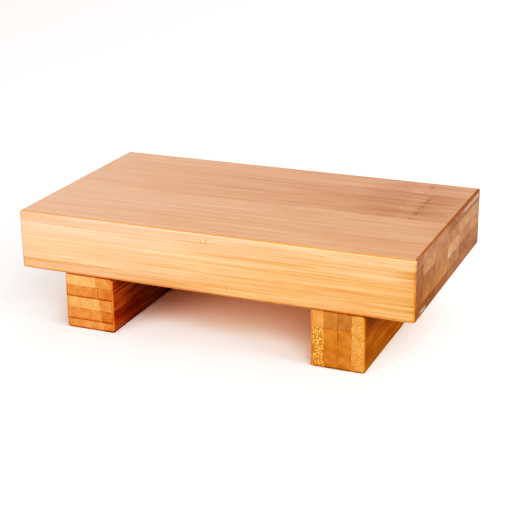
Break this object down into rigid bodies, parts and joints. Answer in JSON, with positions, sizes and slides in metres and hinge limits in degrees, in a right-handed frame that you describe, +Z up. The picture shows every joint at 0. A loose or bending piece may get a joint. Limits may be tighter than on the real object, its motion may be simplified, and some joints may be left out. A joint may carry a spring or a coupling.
{
  "type": "sushi serving tray",
  "caption": "Raised rectangular serving board of glued bamboo strips on full-depth block legs, for serving sushi or other small food at the table.",
  "frame": {"origin": "centre of the tray at the level of the table", "axes": "+X along the board to the right as seen from the front, +Y from front to back, +Z up"},
  "size_m": [0.21, 0.12, 0.061],
  "materials": {
    "bamboo_pale": "satin lacquer over pale bamboo",
    "bamboo_honey": "satin lacquer over honey-coloured bamboo",
    "bamboo_brown": "satin lacquer over brown bamboo",
    "dowel_wood": "raw hardwood"
  },
  "bodies": {
    "root": {"board_ply_1_strip_1": "bamboo_pale", "board_ply_1_strip_2": "bamboo_pale", "board_ply_1_strip_3": "bamboo_honey", "board_ply_1_strip_4": "bamboo_brown", "board_ply_1_strip_5": "bamboo_brown", "board_ply_1_strip_6": "bamboo_pale", "board_ply_2_strip_1": "bamboo_honey", "board_ply_2_strip_2": "bamboo_pale", "board_ply_2_strip_3": "bamboo_honey", "board_ply_2_strip_4": "bamboo_honey", "board_ply_2_strip_5": "bamboo_pale", "board_ply_2_strip_6": "bamboo_honey", "board_ply_3_strip_1": "bamboo_pale", "board_ply_3_strip_2": "bamboo_honey", "board_ply_3_strip_3": "bamboo_honey", "board_ply_3_strip_4": "bamboo_pale", "board_ply_3_strip_5": "bamboo_honey", "board_ply_3_strip_6": "bamboo_honey", "board_ply_4_strip_1": "bamboo_honey", "board_ply_4_strip_2": "bamboo_pale", "board_ply_4_strip_3": "bamboo_pale", "board_ply_4_strip_4": "bamboo_honey", "board_ply_4_strip_5": "bamboo_brown", "board_ply_4_strip_6": "bamboo_honey", "board_ply_5_strip_1": "bamboo_pale", "board_ply_5_strip_2": "bamboo_brown", "board_ply_5_strip_3": "bamboo_brown", "board_ply_5_strip_4": "bamboo_honey", "board_ply_5_strip_5": "bamboo_honey", "board_ply_5_strip_6": "bamboo_honey", "left_leg_ply_1_strip_1": "bamboo_pale", "left_leg_ply_1_strip_2": "bamboo_honey", "left_leg_ply_2_strip_1": "bamboo_honey", "left_leg_ply_2_strip_2": "bamboo_brown", "left_leg_ply_3_strip_1": "bamboo_pale", "left_leg_ply_3_strip_2": "bamboo_honey", "left_leg_ply_4_strip_1": "bamboo_brown", "left_leg_ply_4_strip_2": "bamboo_honey", "left_leg_ply_5_strip_1": "bamboo_honey", "left_leg_ply_5_strip_2": "bamboo_honey", "right_leg_ply_1_strip_1": "bamboo_pale", "right_leg_ply_1_strip_2": "bamboo_honey", "right_leg_ply_2_strip_1": "bamboo_brown", "right_leg_ply_2_strip_2": "bamboo_honey", "right_leg_ply_3_strip_1": "bamboo_brown", "right_leg_ply_3_strip_2": "bamboo_honey", "right_leg_ply_4_strip_1": "bamboo_pale", "right_leg_ply_4_strip_2": "bamboo_pale", "left_front_dowel": "dowel_wood", "left_rear_dowel": "dowel_wood", "right_front_dowel": "dowel_wood", "right_rear_dowel": "dowel_wood"}
  },
  "joints": []
}
